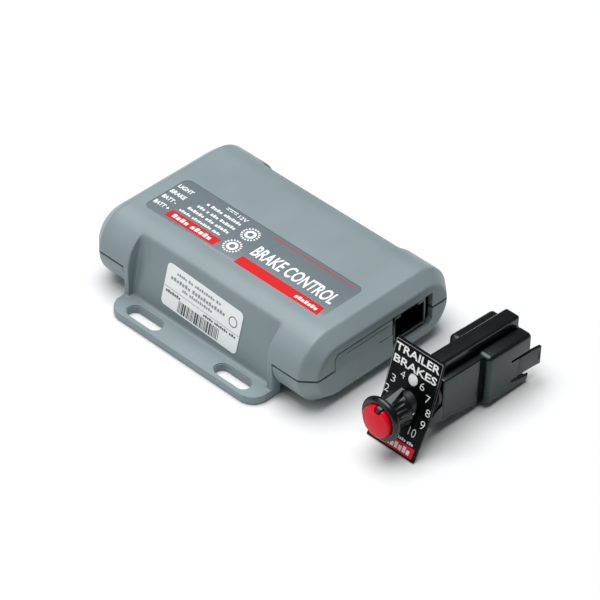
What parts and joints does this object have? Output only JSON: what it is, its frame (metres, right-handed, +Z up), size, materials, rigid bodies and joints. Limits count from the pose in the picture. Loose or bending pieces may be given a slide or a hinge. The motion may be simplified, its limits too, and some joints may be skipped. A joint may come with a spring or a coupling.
{
  "type": "trailer brake controller",
  "caption": "Trailer brake controller: a rounded flanged plastic control box with end sockets and slotted side flanges, and a separate remote dial head with a numbered face plate and push knob.",
  "frame": {"origin": "centre of the main unit's flat underside", "axes": "+X along the main unit towards its data socket, +Y away from the rating label, +Z up off the mounting face"},
  "size_m": [0.1439, 0.0874, 0.0334],
  "materials": {
    "shell_plastic": "satin moulded",
    "label_film": "satin printed film",
    "label_paper": "semi-gloss sticker",
    "black_plastic": "satin moulded",
    "component_body": "matt moulded",
    "contact_brass": "plated",
    "plated_steel": "zinc plated",
    "board_laminate": "solder mask",
    "aluminium": "machined",
    "silicone_pad": "soft",
    "capacitor_sleeve": "shrunk sleeve",
    "copper": "bare",
    "plate_enamel": "satin enamel",
    "red_plastic": "gloss moulded",
    "diffuser_plastic": "translucent",
    "nylon": "moulded"
  },
  "bodies": {
    "main_unit": {"upper_shell": "shell_plastic", "lower_shell": "shell_plastic", "top_label": "label_film", "rating_label": "label_paper", "data_socket": "black_plastic", "data_socket_contacts": "contact_brass", "power_socket": "black_plastic", "power_blade_1": "contact_brass", "power_blade_2": "contact_brass", "power_blade_3": "contact_brass", "power_blade_4": "contact_brass", "case_screw_1": "plated_steel", "case_screw_2": "plated_steel", "case_screw_3": "plated_steel", "case_screw_4": "plated_steel", "main_circuit_board": "board_laminate", "heat_spreader": "aluminium", "thermal_pad": "silicone_pad", "power_transistor_1": "component_body", "power_transistor_2": "component_body", "power_transistor_3": "component_body", "transistor_screw_1": "plated_steel", "transistor_screw_2": "plated_steel", "transistor_screw_3": "plated_steel", "capacitor_1": "capacitor_sleeve", "capacitor_2": "capacitor_sleeve", "filter_inductor": "copper", "processor_chip": "component_body", "motion_sensor": "component_body", "shunt_resistor": "copper"},
    "remote_head": {"face_plate": "plate_enamel", "insert_housing": "black_plastic", "head_circuit_board": "board_laminate", "head_socket": "black_plastic", "head_socket_contacts": "contact_brass", "potentiometer_body": "component_body", "threaded_bush": "plated_steel", "bush_nut": "plated_steel", "spacer_washer": "plated_steel", "push_switch_body": "component_body", "return_spring": "plated_steel", "status_led": "diffuser_plastic", "light_pipe": "diffuser_plastic"},
    "dial_rotor": {"wiper_rotor": "nylon"},
    "knob": {"spindle": "aluminium", "knob_body": "black_plastic", "knob_cap": "red_plastic"},
    "plunger": {"switch_plunger": "nylon"}
  },
  "joints": [
    {"name": "head_lift", "type": "slide", "parent": "main_unit", "child": "remote_head", "axis": [0, 0, 1], "range_m": [0, 0.06]},
    {"name": "dial_turn", "type": "hinge", "parent": "remote_head", "child": "dial_rotor", "pos_m": [0.0806, -0.0173, 0.0149], "axis": [0, 0.9986, -0.0523], "range_deg": [-148, 132]},
    {"name": "knob_push", "type": "slide", "parent": "dial_rotor", "child": "knob", "axis": [0, 0.9986, -0.0523], "range_m": [0, 0.0005], "stiffness_N_per_m": 1500, "springref_m": -0.001},
    {"name": "plunger_travel", "type": "slide", "parent": "remote_head", "child": "plunger", "axis": [0, 0.9986, -0.0523], "range_m": [0, 0.0005], "deforming": ["return_spring"]}
  ],
  "couplings": [
    {"joint": "plunger_travel", "follows": "knob_push", "ratio": 1}
  ]
}
